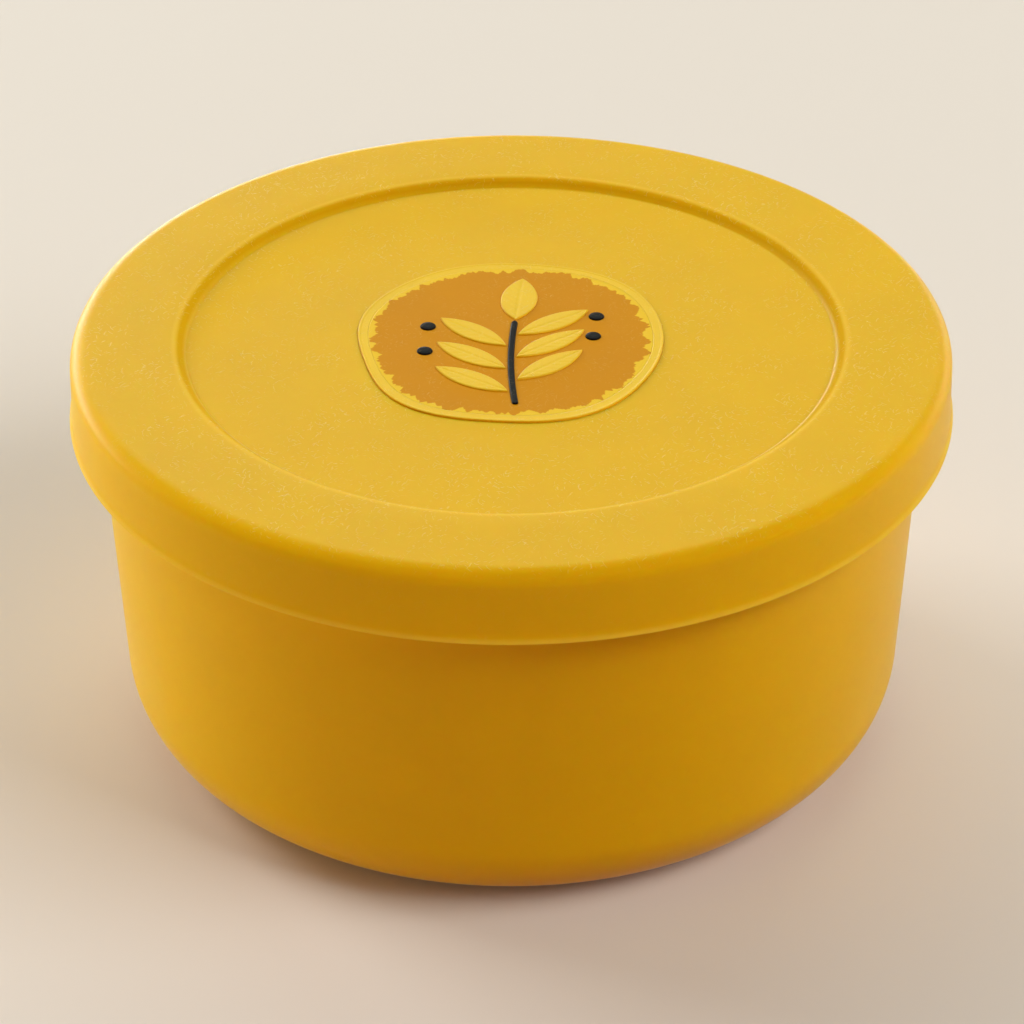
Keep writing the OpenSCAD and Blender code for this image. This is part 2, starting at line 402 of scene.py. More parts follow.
class Nodes:
    """The nodes of one material."""

    def __init__(self, tree):
        self.tree = tree
        tree.nodes.clear()

    def add(self, kind, settings=None, inputs=None, output=0):
        """A node of a kind, with its settings first and then the values or links of its sockets."""
        node = self.tree.nodes.new(kind)
        for key, value in (settings or {}).items():
            setattr(node, key, value)
        for key, value in (inputs or {}).items():
            if isinstance(value, Wire):
                self.tree.links.new(value.socket, node.inputs[key])
            else:
                node.inputs[key].default_value = value
        return Wire(self, node.outputs[output]) if node.outputs else None

    def maths(self, operation, *values, clamp=False):
        return self.add("ShaderNodeMath", {"operation": operation, "use_clamp": clamp}, dict(enumerate(values)))

    def vector(self, operation, first, second):
        return self.add("ShaderNodeVectorMath", {"operation": operation}, {0: first, 1: second})

    def scaled(self, vector, by):
        return self.add("ShaderNodeVectorMath", {"operation": "SCALE"}, {0: vector, "Scale": by})

    def moved(self, vector, by):
        return self.vector("ADD", vector, by)

    def measure(self, operation, first, second=(0, 0, 0)):
        """A length or a distance, as a number."""
        return self.add("ShaderNodeVectorMath", {"operation": operation}, {0: first, 1: second}, "Value")

    def noise(self, place, scale, detail):
        return self.add("ShaderNodeTexNoise", None, {"Vector": place, "Scale": scale, "Detail": detail}, "Fac")

    def blend(self, factor, first, second, kind="MIX"):
        return self.add(
            "ShaderNodeMix", {"data_type": "RGBA", "blend_type": kind}, {0: factor, 6: first, 7: second}, 2
        )


# Noises of the silicone: cells for each mm, and detail
CLOUDS, FLECKS, GRAIN, LINT_PATCHES = (0.07, 3), (0.6, 2), (2.6, 2), (0.16, 2)
# Lint: cells for each mm, seed, greatest length and thickness in mm
LINT = ((0.7, 11, 0.75, 0.06), (1.0, 23, 0.6, 0.06), (1.5, 5, 0.42, 0.05))
LINT_BARE_TO_FULL = 0.3, 0.6333  # where the noise of the patches has no lint, and where it has all of it
FIBRE_BEND, FIBRE_END, SPECK_EDGE = 3, 8, 1.6  # how far fibres bend, and how sharply fibres and specks end
# Grains and pits: cells for each mm, seed and greatest radius in mm
DUST_GRAINS, PITS = (0.36, 17, 0.15), (0.26, 41, 0.13)
# Dust lies on what faces up: it starts and is full at these heights of the normal, and a little lies everywhere
DUST_FACING, LEAST_DUST = (0.6333, 0.9667), 0.12
DUST_STRENGTH, DUST_MATT, CLOUD_MATT = 0.55, 0.2, 0.12
# Heights in mm for the bump
FIBRE_HEIGHT, DUST_HEIGHT, FLECK_HEIGHT, PIT_DEPTH = 0.035, 0.04, 0.01, 0.03
FLECK_SHARE = 0.6
PIT_STRENGTH, PIT_SHADOW = 0.35, (0.45, 0.35, 0.3)
# Painted glow on what faces sideways: gone where the normal's height reaches the first number; the second is its
# strength
SIDE_GLOW_END, SIDE_GLOW_STRENGTH = 0.7143, 0.75
SILICONE_IOR, LEAST_GLOSS = 1.41, 0.4
GLOW_COLOURS = 1.0, 0.4, 0.08  # how far red, green and blue spread, as shares of the glow's reach
SHEEN_ROUGHNESS, SHEEN_TINT = 0.2, (1.0, 0.98, 0.9, 1)
# The amber field's ragged seam: how far it lies inside the field's edge, and how much of the patch's unevenness
# it repeats. Its teeth come from a noise along a circle of this radius in mm.
SEAM_INSET, SEAM_SHARE, SEAM_SHARPNESS = 0.9 * MM, 0.8, 5
TOOTH_CIRCLE, TOOTH_NOISE, TOOTH_DEPTH = 20, (0.62, 4), 4.8


def lint(nodes, place, scale, seed, reach, thin):
    """Short curved fibres, one in each cell of a random lattice. Each has its own length and bend."""
    here = nodes.moved(place, (seed, 2 * seed, 3 * seed))
    cell = nodes.add("ShaderNodeTexVoronoi", None, {"Vector": here, "Scale": scale}, "Distance")
    arm = nodes.vector("SUBTRACT", here, cell.also("Position"))
    bend = nodes.scaled(nodes.moved(cell.also("Color"), (-0.5, -0.5, -0.5)), FIBRE_BEND)
    off = nodes.measure("DISTANCE", arm, bend) - nodes.measure("LENGTH", bend)
    run = nodes.add("ShaderNodeSeparateColor", None, {0: cell.also("Color")}, "Red") * reach
    return (1 - abs(off) / thin).clamped() * ((run - cell / scale) * FIBRE_END).clamped()


def specks(nodes, place, scale, seed, radius):
    """Round grains of dust, up to a radius in mm. Each has its own size."""
    here = nodes.moved(place, (seed, 5 * seed, 2 * seed))
    cell = nodes.add("ShaderNodeTexVoronoi", None, {"Vector": here, "Scale": scale}, "Distance")
    near = cell / scale
    size = nodes.add("ShaderNodeSeparateColor", None, {0: cell.also("Color")}, "Red")
    return ((1 - near / (size * radius)) * SPECK_EDGE).clamped()


def ragged(nodes, place, radius):
    """1 beyond the patch's outline shrunk to a radius, with the teeth that brush strokes leave along it."""
    flat = nodes.vector("MULTIPLY", place, (1, 1, 0))
    way = nodes.add("ShaderNodeSeparateXYZ", None, {0: place})
    angle = nodes.maths("ARCTAN2", way.also("Y"), way)
    seam = radius / MM
    for count, part, phase in PATCH_WAVES:
        seam = nodes.maths("COSINE", angle * count + phase) * (part * SEAM_SHARE) + seam
    stroke = nodes.scaled(nodes.add("ShaderNodeVectorMath", {"operation": "NORMALIZE"}, {0: flat}), TOOTH_CIRCLE)
    teeth = (nodes.noise(stroke, *TOOTH_NOISE) - 0.5) * TOOTH_DEPTH
    return ((nodes.measure("LENGTH", flat) - seam + teeth) * SEAM_SHARPNESS).clamped()


class PaintedBand(NamedTuple):
    """A ring round the axis where the silicone takes another colour as painted shade, a painted highlight or a
    painted glow. Its sizes are in metres.

    strength is the share of the other colour, and matt is what the ring adds to the roughness.
    """

    radius: float
    height: float
    width: float
    tint: tuple
    strength: float
    matt: float = 0.0

    def near(self, nodes, place):
        """1 within half a width of the ring, 0 from one and a half widths on."""
        out = nodes.measure("LENGTH", nodes.vector("MULTIPLY", place, (1, 1, 0))) - self.radius / MM
        rise = nodes.add("ShaderNodeSeparateXYZ", None, {0: place}, "Z") - self.height / MM
        return (1.5 - (abs(out) + abs(rise)) / (self.width / MM)).clamped()


def silicone(name, base, rubber, dust, glow=1.0, powder=1.0, painted_side_glow=None, seam=None, painted_light_bands=()):
    """Matt moulded silicone with a faint mottle, a fine grain, and dust and lint on what faces up.

    dust, glow and powder scale its dust and lint, the light that spreads inside it, and its sheen. The sideways
    colour, if given, is a painted glow on what faces sideways, standing in for light that shines through the
    sides.
    The rings, if given, add painted shade and painted highlights round the axis. seam is the radius where its
    colour ends raggedly, and the colour beyond.
    """
    material = bpy.data.materials.new(name)
    material.use_nodes = True
    material.diffuse_color = (*base, 1)
    nodes = Nodes(material.node_tree)
    place = nodes.scaled(nodes.add("ShaderNodeTexCoord", output="Object"), 1 / MM)
    facing = nodes.add("ShaderNodeNewGeometry", output="Normal")
    up = nodes.add("ShaderNodeSeparateXYZ", None, {0: facing}, "Z")
    dusty = up.ramp(*DUST_FACING) * (1 - LEAST_DUST) + LEAST_DUST

    clouds, flecks, grain = (nodes.noise(place, *sort) for sort in (CLOUDS, FLECKS, GRAIN))
    patches = nodes.noise(place, *LINT_PATCHES).ramp(*LINT_BARE_TO_FULL)
    fibres = sum(lint(nodes, place, *sort) for sort in LINT) * patches * dusty
    grains = specks(nodes, place, *DUST_GRAINS) * dusty
    pits = specks(nodes, place, *PITS)

    tone = (clouds - 0.5) * rubber.mottle * 2 + (flecks - 0.5) * rubber.mottle * FLECK_SHARE + 1
    tone = nodes.add("ShaderNodeCombineColor", None, {0: tone, 1: tone, 2: tone})
    shade = nodes.blend(1.0, (*base, 1), tone, "MULTIPLY")
    matt = 0
    # Painted shade, painted highlights and painted glow: each ring mixes its colour into the base
    for ring in painted_light_bands:
        near = ring.near(nodes, place)
        shade = nodes.blend(near * ring.strength, shade, (*ring.tint, 1))
        matt = near * ring.matt + matt
    # Painted glow: what faces sideways takes a warmer colour, standing in for light shining through the sides
    if painted_side_glow:
        shade = nodes.blend((1 - up.ramp(0, SIDE_GLOW_END)) * SIDE_GLOW_STRENGTH, shade, (*painted_side_glow, 1))
    if seam:
        radius, beyond = seam
        shade = nodes.blend(ragged(nodes, place, radius), shade, (*beyond, 1))
    deep = [part * shadow for part, shadow in zip(base, PIT_SHADOW)]
    shade = nodes.blend((pits * PIT_STRENGTH).clamped(), shade, (*deep, 1))
    shade = nodes.blend(((fibres + grains) * DUST_STRENGTH * dust).clamped(), shade, (*rubber.dust_tint, 1))

    rough = (clouds - 0.5) * CLOUD_MATT + rubber.roughness + (fibres + grains) * DUST_MATT * dust + matt
    raised = (fibres * FIBRE_HEIGHT + grains * DUST_HEIGHT) * dust
    height = grain * rubber.grain + flecks * FLECK_HEIGHT + raised - pits * PIT_DEPTH
    bump = nodes.add("ShaderNodeBump", None, {"Strength": 1.0, "Distance": MM, "Height": height})
    surface = nodes.add("ShaderNodeBsdfPrincipled", {"subsurface_method": "RANDOM_WALK"}, {
        "Base Color": shade, "Roughness": rough, "Normal": bump, "IOR": SILICONE_IOR,
        "Specular IOR Level": rubber.gloss * (LEAST_GLOSS + (1 - LEAST_GLOSS) * powder),
        "Subsurface Weight": rubber.glow * glow, "Subsurface Scale": rubber.glow_reach * glow,
        "Subsurface Radius": GLOW_COLOURS,
        "Sheen Weight": rubber.sheen * powder, "Sheen Roughness": SHEEN_ROUGHNESS, "Sheen Tint": SHEEN_TINT,
    })
    nodes.add("ShaderNodeOutputMaterial", None, {"Surface": surface})
    return material


def seen(nodes):
    """1 for what the camera, a mirror or a glass sees, 0 for the light that falls on the object."""
    rays = nodes.add("ShaderNodeLightPath", output="Is Camera Ray")
    return (rays + rays.also("Is Glossy Ray") + rays.also("Is Transmission Ray")).clamped()


NEAR_FLOOR = 0.6  # how far from the axis the floor turns into a plain backdrop


def floor_paint(stage):
    """A plain matt floor: pale to look at, warm in the light it throws back, and without shading far off."""
    material = bpy.data.materials.new("floor_paint")
    material.use_nodes = True
    nodes = Nodes(material.node_tree)
    base = nodes.blend(seen(nodes), (*stage.bounce, 1), (*stage.floor, 1))
    surface = nodes.add("ShaderNodeBsdfDiffuse", None, {"Color": base})
    out = nodes.measure("LENGTH", nodes.add("ShaderNodeTexCoord", output="Object"))
    far = ((out - NEAR_FLOOR) / NEAR_FLOOR).clamped() * nodes.add("ShaderNodeLightPath", output="Is Camera Ray")
    plain = nodes.add("ShaderNodeEmission", None, {"Color": (*stage.floor, 1), "Strength": 1.0})
    surface = nodes.add("ShaderNodeMixShader", None, {0: far, 1: surface, 2: plain})
    nodes.add("ShaderNodeOutputMaterial", None, {"Surface": surface})
    return material


# Outlines of the turned pieces

# Roundings of hidden and open edges
CRISP, FINE, SOFT, FULL = 0.05 * MM, 0.3 * MM, 0.6 * MM, 1.2 * MM
FIT = 0.01 * MM  # the gap that a bonded piece leaves in its pocket
POCKET_ROUND = 0.04 * MM
RECESS_ROUND, BELLY_ROUND, CREST_ROUND, SHOULDER_ROUND = 0.5 * MM, 2.5 * MM, 1.6 * MM, 50 * MM
LIP_RAKE, LIP_ROUND, SNAP_ROUND = 0.02 * MM, 0.08 * MM, 0.2 * MM
RIM_ROUND, RIM_INNER_ROUND, RIM_SLOPE = 0.15 * MM, 0.12 * MM, 0.15 * MM
FLARE_STEPS = 12
FLARE_REST = 0.1 * MM  # the straight stretch of the lip below its cove


def bowl_outline(s):
    """The bowl's section, from the axis under the floor, up the wall outside and back inside."""
    slope = (s.wall_top - s.wall_foot) / s.height
    bead_low = s.height - s.bead_height
    bead = s.wall_top + s.bead
    ring = s.wall_foot - s.foot_round / math.tan((math.pi / 2 + math.atan(slope)) / 2)
    hollow = ring - s.foot_ring
    inside = s.hollow + s.floor
    return [
        (0, s.hollow, 0),
        (hollow - s.hollow, s.hollow, FINE),
        (hollow, 0, FINE),
        (s.wall_foot, 0, s.foot_round),
        (s.wall_foot + slope * bead_low, bead_low, SOFT),
        (bead, bead_low + s.bead, SOFT),
        (bead, s.height, FULL),
        (s.wall_top - s.wall, s.height, SOFT),
        (s.wall_foot + slope * inside - s.wall, inside, s.foot_round - s.wall),
        (0, inside, 0),
    ]


def seal_lip(s, height):
    """A bump round the plug ring."""
    return [(s.plug, height + s.seal, 0), (s.plug + s.seal, height, s.seal / 2), (s.plug, height - s.seal, 0)]


def flare_points(s):
    """The soft cove that leads the skirt out to its lip, steeper and steeper."""
    top = s.skirt_foot + FLARE_REST + s.flare_height
    shares = [i / FLARE_STEPS for i in range(FLARE_STEPS + 1)]
    return [(s.lip - s.flare * (1 - share**3), top - s.flare_height * share, 0) for share in shares]


def lid_outline(s, badge):
    """The lid's section, from the axis in the badge's pocket, over the top, down the skirt and back below."""
    seat = s.top - s.plate
    recess = s.top - s.recess_depth
    under = recess - s.plate
    skirt_low = s.lip - s.flare
    inner = skirt_low - s.skirt
    snap_high = s.skirt_foot + s.snap_height
    snap_out = inner - s.snap
    plug_low = seat - s.plug_depth
    pocket = badge.patch + FIT
    crest = s.recess + s.recess_slope
    return [
        (0, badge.foot, 0),
        (pocket, badge.foot, CRISP),
        (pocket, recess, POCKET_ROUND),
        (s.recess, recess, RECESS_ROUND),
        (s.recess + s.recess_slope / 2, (recess + s.top) / 2 + s.recess_belly, BELLY_ROUND),
        (crest, s.top - s.sink, CREST_ROUND),
        (crest + s.shoulder, s.top, SHOULDER_ROUND),
        (skirt_low - s.draft, s.top, s.edge_round),
        *flare_points(s),
        (s.lip - LIP_RAKE, s.skirt_foot, LIP_ROUND),
        (s.snap, s.skirt_foot, FINE),
        (s.snap, snap_high, FINE),
        (inner, snap_high + snap_out, SNAP_ROUND),
        (inner, seat, FINE),
        (s.plug, seat, FINE),
        *seal_lip(s, seat - s.plug_depth / 3),
        *seal_lip(s, seat - s.plug_depth * 2 / 3),
        (s.plug, plug_low, SOFT),
        (s.plug - s.plug_wall, plug_low, SOFT),
        (s.plug - s.plug_wall, seat, SOFT),
        (s.recess + s.recess_slope / 2, seat, SOFT),
        (s.recess - s.recess_slope / 2, under, SOFT),
        (0, under, 0),
    ]


# The patch's uneven outline: waves round its circle, each with its count, its size in mm and its phase
PATCH_WAVES = ((2, 0.4, -2.95), (3, 0.21, -1.64), (4, 0.38, -3.06), (5, 0.19, -1.33), (6, 0.2, 1.07))
PATCH_REACH = 1.5 * MM  # how far off the patch the lid's pocket still follows that outline
# How bowl and lid stray from a true circle: count, share and phase of each wave
BOWL_WAVES = ((2, 1, 0.4), (3, 0.6, 1.9), (5, 0.3, 3.3))
LID_WAVES = ((2, 1, 2.2), (3, 0.5, 0.7), (4, 0.3, 5.0))
LID_RISE_WAVES = ((3, 1, 1.1), (5, 0.7, 2.7), (2, 0.6, 0.2))


def patch_stray(angle):
    """How far the patch's hand-cut edge strays out of its circle."""
    return MM * sum(part * np.cos(count * angle + phase) for count, part, phase in PATCH_WAVES)


def nearness(radius, at, reach):
    """1 on a circle of radius at, falling to 0 away from it."""
    return math.exp(-(((radius - at) / reach) ** 2))


# Operators

class Builder:
    """What every operator here shares."""

    bl_options = {"REGISTER", "UNDO"}

    def execute(self, context):
        self.build(context.scene.snack_container)
        return {"FINISHED"}


class SNACK_OT_bowl(Builder, bpy.types.Operator):
    """Build the bowl: foot ring, tapered wall, rim bead and the hollow inside"""

    bl_idname = "snack_container.bowl"
    bl_label = "Bowl"

    def build(self, whole):
        sizes, rubber = whole.bowl, whole.rubber

        def waver(angle, radius, height):
            grown = min(1.0, height / sizes.height) * radius / sizes.wall_top
            return rubber.waver * grown * (ripple(angle, BOWL_WAVES) - 1), 0

        piece = turned("silicone_bowl", bowl_outline(sizes), whole.segments, waver)
        dress(piece, silicone("bowl_silicone", rubber.body, rubber, dust=0.35), BOWL_BODY, "silicone", "bowl")


class SNACK_OT_lid(Builder, bpy.types.Operator):
    """Build the lid: raised ring, recess, skirt with its flared lip, snap bead, plug ring and sealing lips"""

    bl_idname = "snack_container.lid"
    bl_label = "Lid"

    def build(self, whole):
        sizes, rubber = whole.lid, whole.rubber

        def waver(angle, radius, height):
            grown = (radius / sizes.lip) ** 3
            out = rubber.waver * grown * (ripple(angle, LID_WAVES) - 1)
            out = out + patch_stray(angle) * nearness(radius, whole.badge.patch, PATCH_REACH)
            up = rubber.waver * grown * (ripple(angle, LID_RISE_WAVES) - 1)
            return out, up if height > sizes.top - MM else 0

        piece = turned("press_on_lid", lid_outline(sizes, whole.badge), whole.segments, waver)
        # Painted shade on the recess's slope, which is also more matt
        slope = PaintedBand(
            radius=sizes.recess + 0.55 * sizes.recess_slope, height=sizes.top - 0.45 * sizes.recess_depth,
            width=0.8 * MM, tint=rubber.hollow, strength=0.36, matt=0.55
        )
        # Painted highlight along the crest between ring and recess
        crest = PaintedBand(
            radius=sizes.recess + sizes.recess_slope, height=sizes.top - sizes.sink,
            width=0.45 * MM, tint=rubber.crest, strength=0.24, matt=0.15
        )
        # Painted glow on the lid's rounded top edge
        edge = PaintedBand(
            radius=sizes.lip - 1.15 * MM, height=sizes.top - 0.7 * MM,
            width=1.3 * MM, tint=rubber.edge, strength=0.12
        )
        # Painted highlight along the flared lip
        lip = PaintedBand(
            radius=sizes.lip, height=sizes.skirt_foot + 0.3 * MM,
            width=0.6 * MM, tint=rubber.crest, strength=0.3
        )
        material = silicone("lid_silicone", rubber.body, rubber, dust=1.0, painted_light_bands=(slope, crest, edge, lip))
        dress(piece, material, LID_BODY, "silicone", "lid")


class SNACK_OT_badge(Builder, bpy.types.Operator):
    """Build the badge's ground: the pale patch with its raised rim, and the amber field let into it"""

    bl_idname = "snack_container.badge"
    bl_label = "Badge patch and field"

    def build(self, whole):
        s, rubber = whole.badge, whole.rubber
        border = s.top - s.rim_height
        pocket = s.field + FIT
        patch = [
            (0, s.foot, 0),
            (s.patch, s.foot, CRISP),
            (s.patch, s.top, RIM_ROUND),
            (s.patch - s.rim, s.top, RIM_INNER_ROUND),
            (s.patch - s.rim - RIM_SLOPE, border, RIM_ROUND),
            (pocket, border, 0),
            (pocket, s.field_foot, CRISP),
            (0, s.field_foot, 0),
        ]
        field = [
            (0, s.field_foot, 0),
            (s.field, s.field_foot, CRISP),
            (s.field, border, 0),
            (0, border, 0),
        ]

        def waver(angle, radius, height):
            return patch_stray(angle) * (radius / s.patch) ** 2, 0

        segments = 2 * whole.segments
        piece = turned("badge_patch", patch, segments, waver)
        # Painted glow on the patch's sides
        material = silicone("patch_silicone", rubber.pale, rubber, dust=0.8, glow=0.2, painted_side_glow=rubber.edge)
        dress(piece, material, LID_BODY, "badge_pale", "badge_backing")
        piece = turned("amber_field", field, segments, waver)
        seam = s.field - SEAM_INSET, rubber.pale
        material = silicone("amber_silicone", rubber.amber, rubber, dust=0.35, glow=0.2, powder=0.1, seam=seam)
        dress(piece, material, LID_BODY, "badge_amber", "badge_field")


# Leaves, stem and berries

PAD_STEP = 0.12 * MM  # the longest step along a pad
ACROSS = 33  # points across a pad's top
UNDERSIDE = 0.97  # width of a pad's underside, as a share of its top
BLUNT_END = 0.02  # least width of the stem's round ends, as a share of its own
LEAF_EDGE, LEAF_CROWN = 0.5 * MM, 0.03 * MM
RIB_DEPTH, RIB_WIDTH, RIB_FADE = 0.1 * MM, 0.17 * MM, 0.12
VEIN_DEPTH, VEIN_WIDTH, VEIN_PITCH, VEIN_SLANT = 0.04 * MM, 0.13 * MM, 1.35 * MM, 1.1
BERRY_SEGMENTS, BERRY_FLAT, BERRY_CROWN, BERRY_ROUND = 64, 0.45, 0.08 * MM, 0.4 * MM


def stem_point(s, along, aside):
    """Where a point along the stem's curve, and aside of it, lies, and how far the stem has turned there."""
    heading = (along - s.stem / 2) / s.stem_bend
    reach = s.stem_bend - aside
    middle = s.stem / 2 - s.field + s.stem_margin
    return s.stem_bend - reach * np.cos(heading), middle + reach * np.sin(heading), heading


def stem_place(s, along, side, points):
    """Moves points that grow along +Y to their place beside the curved stem."""
    foot_x, foot_y, heading = stem_point(s, along, 0)
    turn = side * s.leaf_angle - heading
    x, y = points[:, 0], points[:, 1] + s.stem_width
    return np.stack([
        foot_x + x * math.cos(turn) - y * math.sin(turn),
        foot_y + x * math.sin(turn) + y * math.cos(turn),
        points[:, 2],
    ], 1)


def edge_rounding(inside, radius):
    """How far a pad's top drops near its edge, from the distance inside the edge."""
    return np.sqrt(np.maximum(radius**2 - np.maximum(radius - inside, 0) ** 2, 0)) - radius


def pad_rings(s, run, half_width, relief, place):
    """Rings of a low pad: a flat underside, a rounded edge and a top with its own relief."""
    count = math.ceil(run / PAD_STEP)
    share_across = np.sin(np.linspace(-math.pi / 2, math.pi / 2, ACROSS))
    rings = []
    for i in range(1, count):
        y = run * (1 - math.cos(math.pi * i / count)) / 2
        half = half_width(y)
        x = half * share_across
        inside = half - abs(x)
        top = s.pad_top + edge_rounding(inside, s.pad_round) + relief(x, y, inside)
        under = np.array([[edge * half, y, s.pad_foot] for edge in (UNDERSIDE, 0, -UNDERSIDE)])
        rings.append(place(np.concatenate([np.stack([x, y + 0 * x, top], 1), under])))
    middle = (s.pad_foot + s.pad_top - s.pad_round) / 2
    return [place(np.array([[0, 0, middle]])), *rings, place(np.array([[0, run, middle]]))]


def leaf(s, name, run, width, along, side):
    """A domed leaf with a sunk midrib and side veins."""
    radius = (run**2 + width**2) / (4 * width)

    def half_width(y):
        return math.sqrt(radius**2 - (y - run / 2) ** 2) - (radius - width / 2)

    def relief(x, y, inside):
        soft = np.clip(inside / LEAF_EDGE, 0, 1)
        rib = np.exp(-((x / RIB_WIDTH) ** 2)) * min(1, (run - y) / (RIB_FADE * run))
        phase = (y - VEIN_SLANT * abs(x)) / VEIN_PITCH
        vein = np.exp(-((((phase + 0.5) % 1 - 0.5) * VEIN_PITCH / VEIN_WIDTH) ** 2))
        return -soft * (RIB_DEPTH * rib + VEIN_DEPTH * vein * (1 - rib)) - LEAF_CROWN * (x / (width / 2)) ** 2

    return skin(name, pad_rings(s, run, half_width, relief, lambda p: stem_place(s, along, side, p)))


def stem(s, name):
    """The stem: a half-round bead along its curve, with round ends."""
    half = s.stem_width / 2
    run = s.stem + 2 * half

    def half_width(y):
        past = max(half - y, y - (run - half), 0)
        return math.sqrt(max(half**2 - past**2, (BLUNT_END * half) ** 2))

    def place(points):
        x, y, _ = stem_point(s, points[:, 1] - half, points[:, 0])
        return np.stack([x, y, points[:, 2]], 1)

    return skin(name, pad_rings(s, run, half_width, lambda x, y, inside: 0 * x, place))


def berry(s, name, along, side):
    """A low round berry with a domed top."""
    dome = [
        (0, s.pad_foot, 0), (s.berry, s.pad_foot, CRISP), (s.berry, s.pad_top - BERRY_CROWN, s.pad_round),
        (BERRY_FLAT * s.berry, s.pad_top, BERRY_ROUND), (0, s.pad_top, 0)
    ]
    piece = turned(name, dome, BERRY_SEGMENTS)
    points = np.empty(len(piece.data.vertices) * 3)
    piece.data.vertices.foreach_get("co", points)
    points = points.reshape(-1, 3) + [0, s.berry_out, 0]
    piece.data.vertices.foreach_set("co", stem_place(s, along, side, points).ravel())
    piece.data.update()
    return piece


class SNACK_OT_sprig(Builder, bpy.types.Operator):
    """Build the sprig on the badge: a curved stem, seven leaves and four berries"""

    bl_idname = "snack_container.sprig"
    bl_label = "Sprig"

    def build(self, whole):
        s, rubber = whole.badge, whole.rubber
        # Painted glow on the sides of the leaves
        pale = silicone("leaf_silicone", rubber.pale, rubber, dust=0.8, glow=0.2, painted_side_glow=rubber.edge)
        dark = silicone("charcoal_silicone", rubber.charcoal, rubber, dust=0.2, glow=0.0, powder=0.1)
        for i in range(1, SIDE_LEAVES + 1):
            side = 1 if i % 2 else -1
            along = s.first_leaf + s.leaf_pitch * (i - 1)
            piece = leaf(s, f"sprig_leaf_{i}", s.side_leaf, s.side_leaf_width, along, side)
            dress(piece, pale, LID_BODY, "badge_pale", f"badge_leaf_{i}")
        tip = leaf(s, f"sprig_leaf_{SIDE_LEAVES + 1}", s.tip_leaf, s.tip_leaf_width, s.stem, 0)
        dress(tip, pale, LID_BODY, "badge_pale", f"badge_leaf_{SIDE_LEAVES + 1}")
        dress(stem(s, "sprig_stem"), dark, LID_BODY, "badge_charcoal", "badge_stem")
        for i in range(1, BERRIES + 1):
            side = 1 if i % 2 else -1
            piece = berry(s, f"sprig_berry_{i}", s.first_leaf + s.leaf_pitch * i, side)
            dress(piece, dark, LID_BODY, "badge_charcoal", f"badge_berry_{i}")


# Stage

COOL, WARM, WHITE = (0.82, 1.0, 1.0), (1.0, 0.72, 0.5), (1.0, 1.0, 1.0)
FLOOR_RADIUS, FLOOR_SIDES, FLOOR_DEPTH, FLOOR_GAP = 6, 96, 20 * MM, 0.05 * MM
FAR, MIDDLE, NEAR = 1.6, 1.5, 0.45  # distances of the lamps
LAMP_AIM = 30 * MM  # height of the point that the lamps face
CAMERA_AIM = Vector((0.05 * MM, 0, 30.713 * MM))
SENSOR = 36


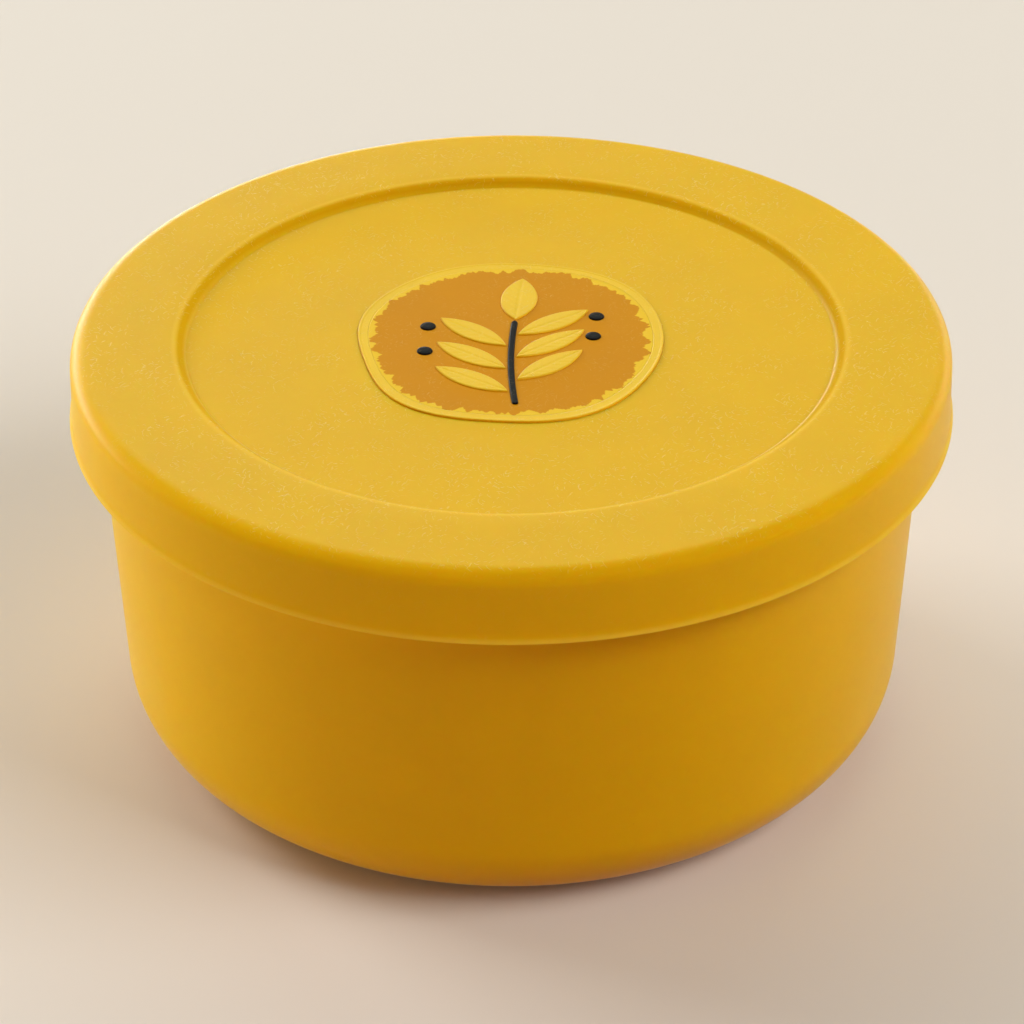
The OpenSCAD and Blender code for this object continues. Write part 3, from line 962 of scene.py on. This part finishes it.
class SNACK_OT_stage(Builder, bpy.types.Operator):
    """Set the stage: a plain pale floor, soft lamps and the camera"""

    bl_idname = "snack_container.stage"
    bl_label = "Stage"

    def build(self, whole):
        stage = whole.stage
        floor = skin("floor", [
            np.array([[0, 0, -FLOOR_DEPTH]]),
            self.ring(FLOOR_RADIUS, -FLOOR_DEPTH), self.ring(FLOOR_RADIUS, 0), self.ring(1, 0),
            np.array([[0, 0, -FLOOR_GAP]])
        ])
        floor.data.materials.append(floor_paint(stage))
        floor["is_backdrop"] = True
        soft, gleam = {"mirrored": False}, {"matt": False}
        self.lamp("back_lamp", (0, 0.71, 0.71), FAR, (1.6, 0.9), stage.back, COOL)
        self.lamp("horizon_lamp", (-0.45, 0.89, 0.06), MIDDLE, (1.2, 0.3), stage.horizon, COOL)
        self.lamp("left_window", (-0.75, 0.5, 0.45), FAR, (0.8, 0.8), stage.left_window, **soft)
        self.lamp("right_window", (0.7, -0.3, 0.65), FAR, (1.0, 0.8), stage.right_window, **soft)
        self.lamp("left_fill", (-1, 0.12, 0), NEAR, (0.4, 0.055), stage.left_fill, COOL, **soft)
        self.lamp("left_front_fill", (-0.85, -0.53, 0), NEAR, (0.3, 0.055), stage.left_front_fill, **soft)
        self.lamp("right_fill", (1, 0.12, 0), NEAR, (0.4, 0.055), stage.right_fill, COOL, **soft)
        self.lamp("left_gleam", (-0.55, 0.83, -0.02), FAR, (2.0, 0.5), stage.left_gleam, **gleam)
        self.lamp("right_gleam", (0.6, 0.8, 0), FAR, (1.2, 0.4), stage.right_gleam, **gleam)
        self.world(stage)
        self.camera(stage)
        bpy.context.scene.view_settings.view_transform = "Standard"

    def ring(self, radius, height):
        """Points of the floor. It lies a hair below the object, so that the two don't share a plane."""
        angle = np.arange(FLOOR_SIDES) * math.tau / FLOOR_SIDES
        return np.stack([radius * np.cos(angle), radius * np.sin(angle), height - FLOOR_GAP + 0 * angle], 1)

    def lamp(self, name, direction, distance, size, light, tint=WHITE, mirrored=True, matt=True):
        """A flat lamp that adds its light to a white surface facing it.

        A lamp that isn't mirrored adds no gloss, and one that isn't matt adds gloss alone.
        """
        data = bpy.data.lights.new(name, "AREA")
        data.shape = "RECTANGLE"
        data.size, data.size_y = size
        data.energy = light * math.pi**2 * distance**2
        data.color = tint
        lamp = bpy.data.objects.new(name, data)
        away = Vector(direction).normalized()
        lamp.location = away * distance + Vector((0, 0, LAMP_AIM))
        lamp.rotation_euler = away.to_track_quat("Z", "Y").to_euler()
        lamp.visible_camera = False
        lamp.visible_glossy, lamp.visible_diffuse = mirrored, matt
        bpy.context.scene.collection.objects.link(lamp)

    def world(self, stage):
        """Even warm light from all round. The camera sees the floor's own colour there."""
        world = bpy.data.worlds.new("studio")
        bpy.context.scene.world = world
        world.use_nodes = True
        nodes = Nodes(world.node_tree)
        rays = nodes.add("ShaderNodeLightPath", output="Is Camera Ray")
        light = nodes.add("ShaderNodeBackground", None, {"Color": (*WARM, 1), "Strength": stage.ambient})
        sky = nodes.add("ShaderNodeBackground", None, {"Color": (*stage.floor, 1), "Strength": 1.0})
        both = nodes.add("ShaderNodeMixShader", None, {0: rays, 1: light, 2: sky})
        nodes.add("ShaderNodeOutputWorld", None, {"Surface": both})

    def camera(self, stage):
        """The camera stands in front, as in the photograph."""
        angle, roll = stage.camera_height, stage.camera_roll
        ahead = Vector((0, math.cos(angle), -math.sin(angle)))
        up = Vector((0, math.sin(angle), math.cos(angle)))
        right = Vector((1, 0, 0))
        right, up = math.cos(roll) * right + math.sin(roll) * up, math.cos(roll) * up - math.sin(roll) * right
        data = bpy.data.cameras.new("front_camera")
        data.lens = stage.lens
        data.sensor_width = SENSOR
        camera = bpy.data.objects.new("front_camera", data)
        turned_to = Matrix((right, up, -ahead)).transposed().to_4x4()
        camera.matrix_world = Matrix.Translation(CAMERA_AIM - stage.camera_distance * ahead) @ turned_to
        bpy.context.scene.collection.objects.link(camera)
        bpy.context.scene.camera = camera


class SNACK_PT_panel(bpy.types.Panel):
    """Lists what can be built and what can be changed"""

    bl_label = "Snack container"
    bl_idname = "SNACK_PT_panel"
    bl_space_type = "VIEW_3D"
    bl_region_type = "UI"
    bl_category = "Snack container"

    def draw(self, context):
        whole = context.scene.snack_container
        for operator in OPERATORS:
            self.layout.operator(operator.bl_idname)
        self.layout.prop(whole, "segments")
        for group in ("bowl", "lid", "badge", "rubber", "stage"):
            box = self.layout.box()
            sizes = getattr(whole, group)
            for name in sizes.__annotations__:
                box.prop(sizes, name)


OPERATORS = (SNACK_OT_bowl, SNACK_OT_lid, SNACK_OT_badge, SNACK_OT_sprig, SNACK_OT_stage)
CLASSES = (BowlSizes, LidSizes, BadgeSizes, RubberLook, StageLook, SnackContainer, *OPERATORS, SNACK_PT_panel)


def register():
    for cls in CLASSES:
        bpy.utils.register_class(cls)
    bpy.types.Scene.snack_container = PointerProperty(type=SnackContainer)


def unregister():
    del bpy.types.Scene.snack_container
    for cls in reversed(CLASSES):
        bpy.utils.unregister_class(cls)


def main():
    register()
    bpy.ops.snack_container.bowl()
    bpy.ops.snack_container.lid()
    bpy.ops.snack_container.badge()
    bpy.ops.snack_container.sprig()
    bpy.ops.snack_container.stage()
    boxes = {"cad": CAD_BOX, "dressed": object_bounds()}
    {key: [list(corner) for corner in box] for key, box in boxes.items()}


if __name__ == "__main__":
    main()
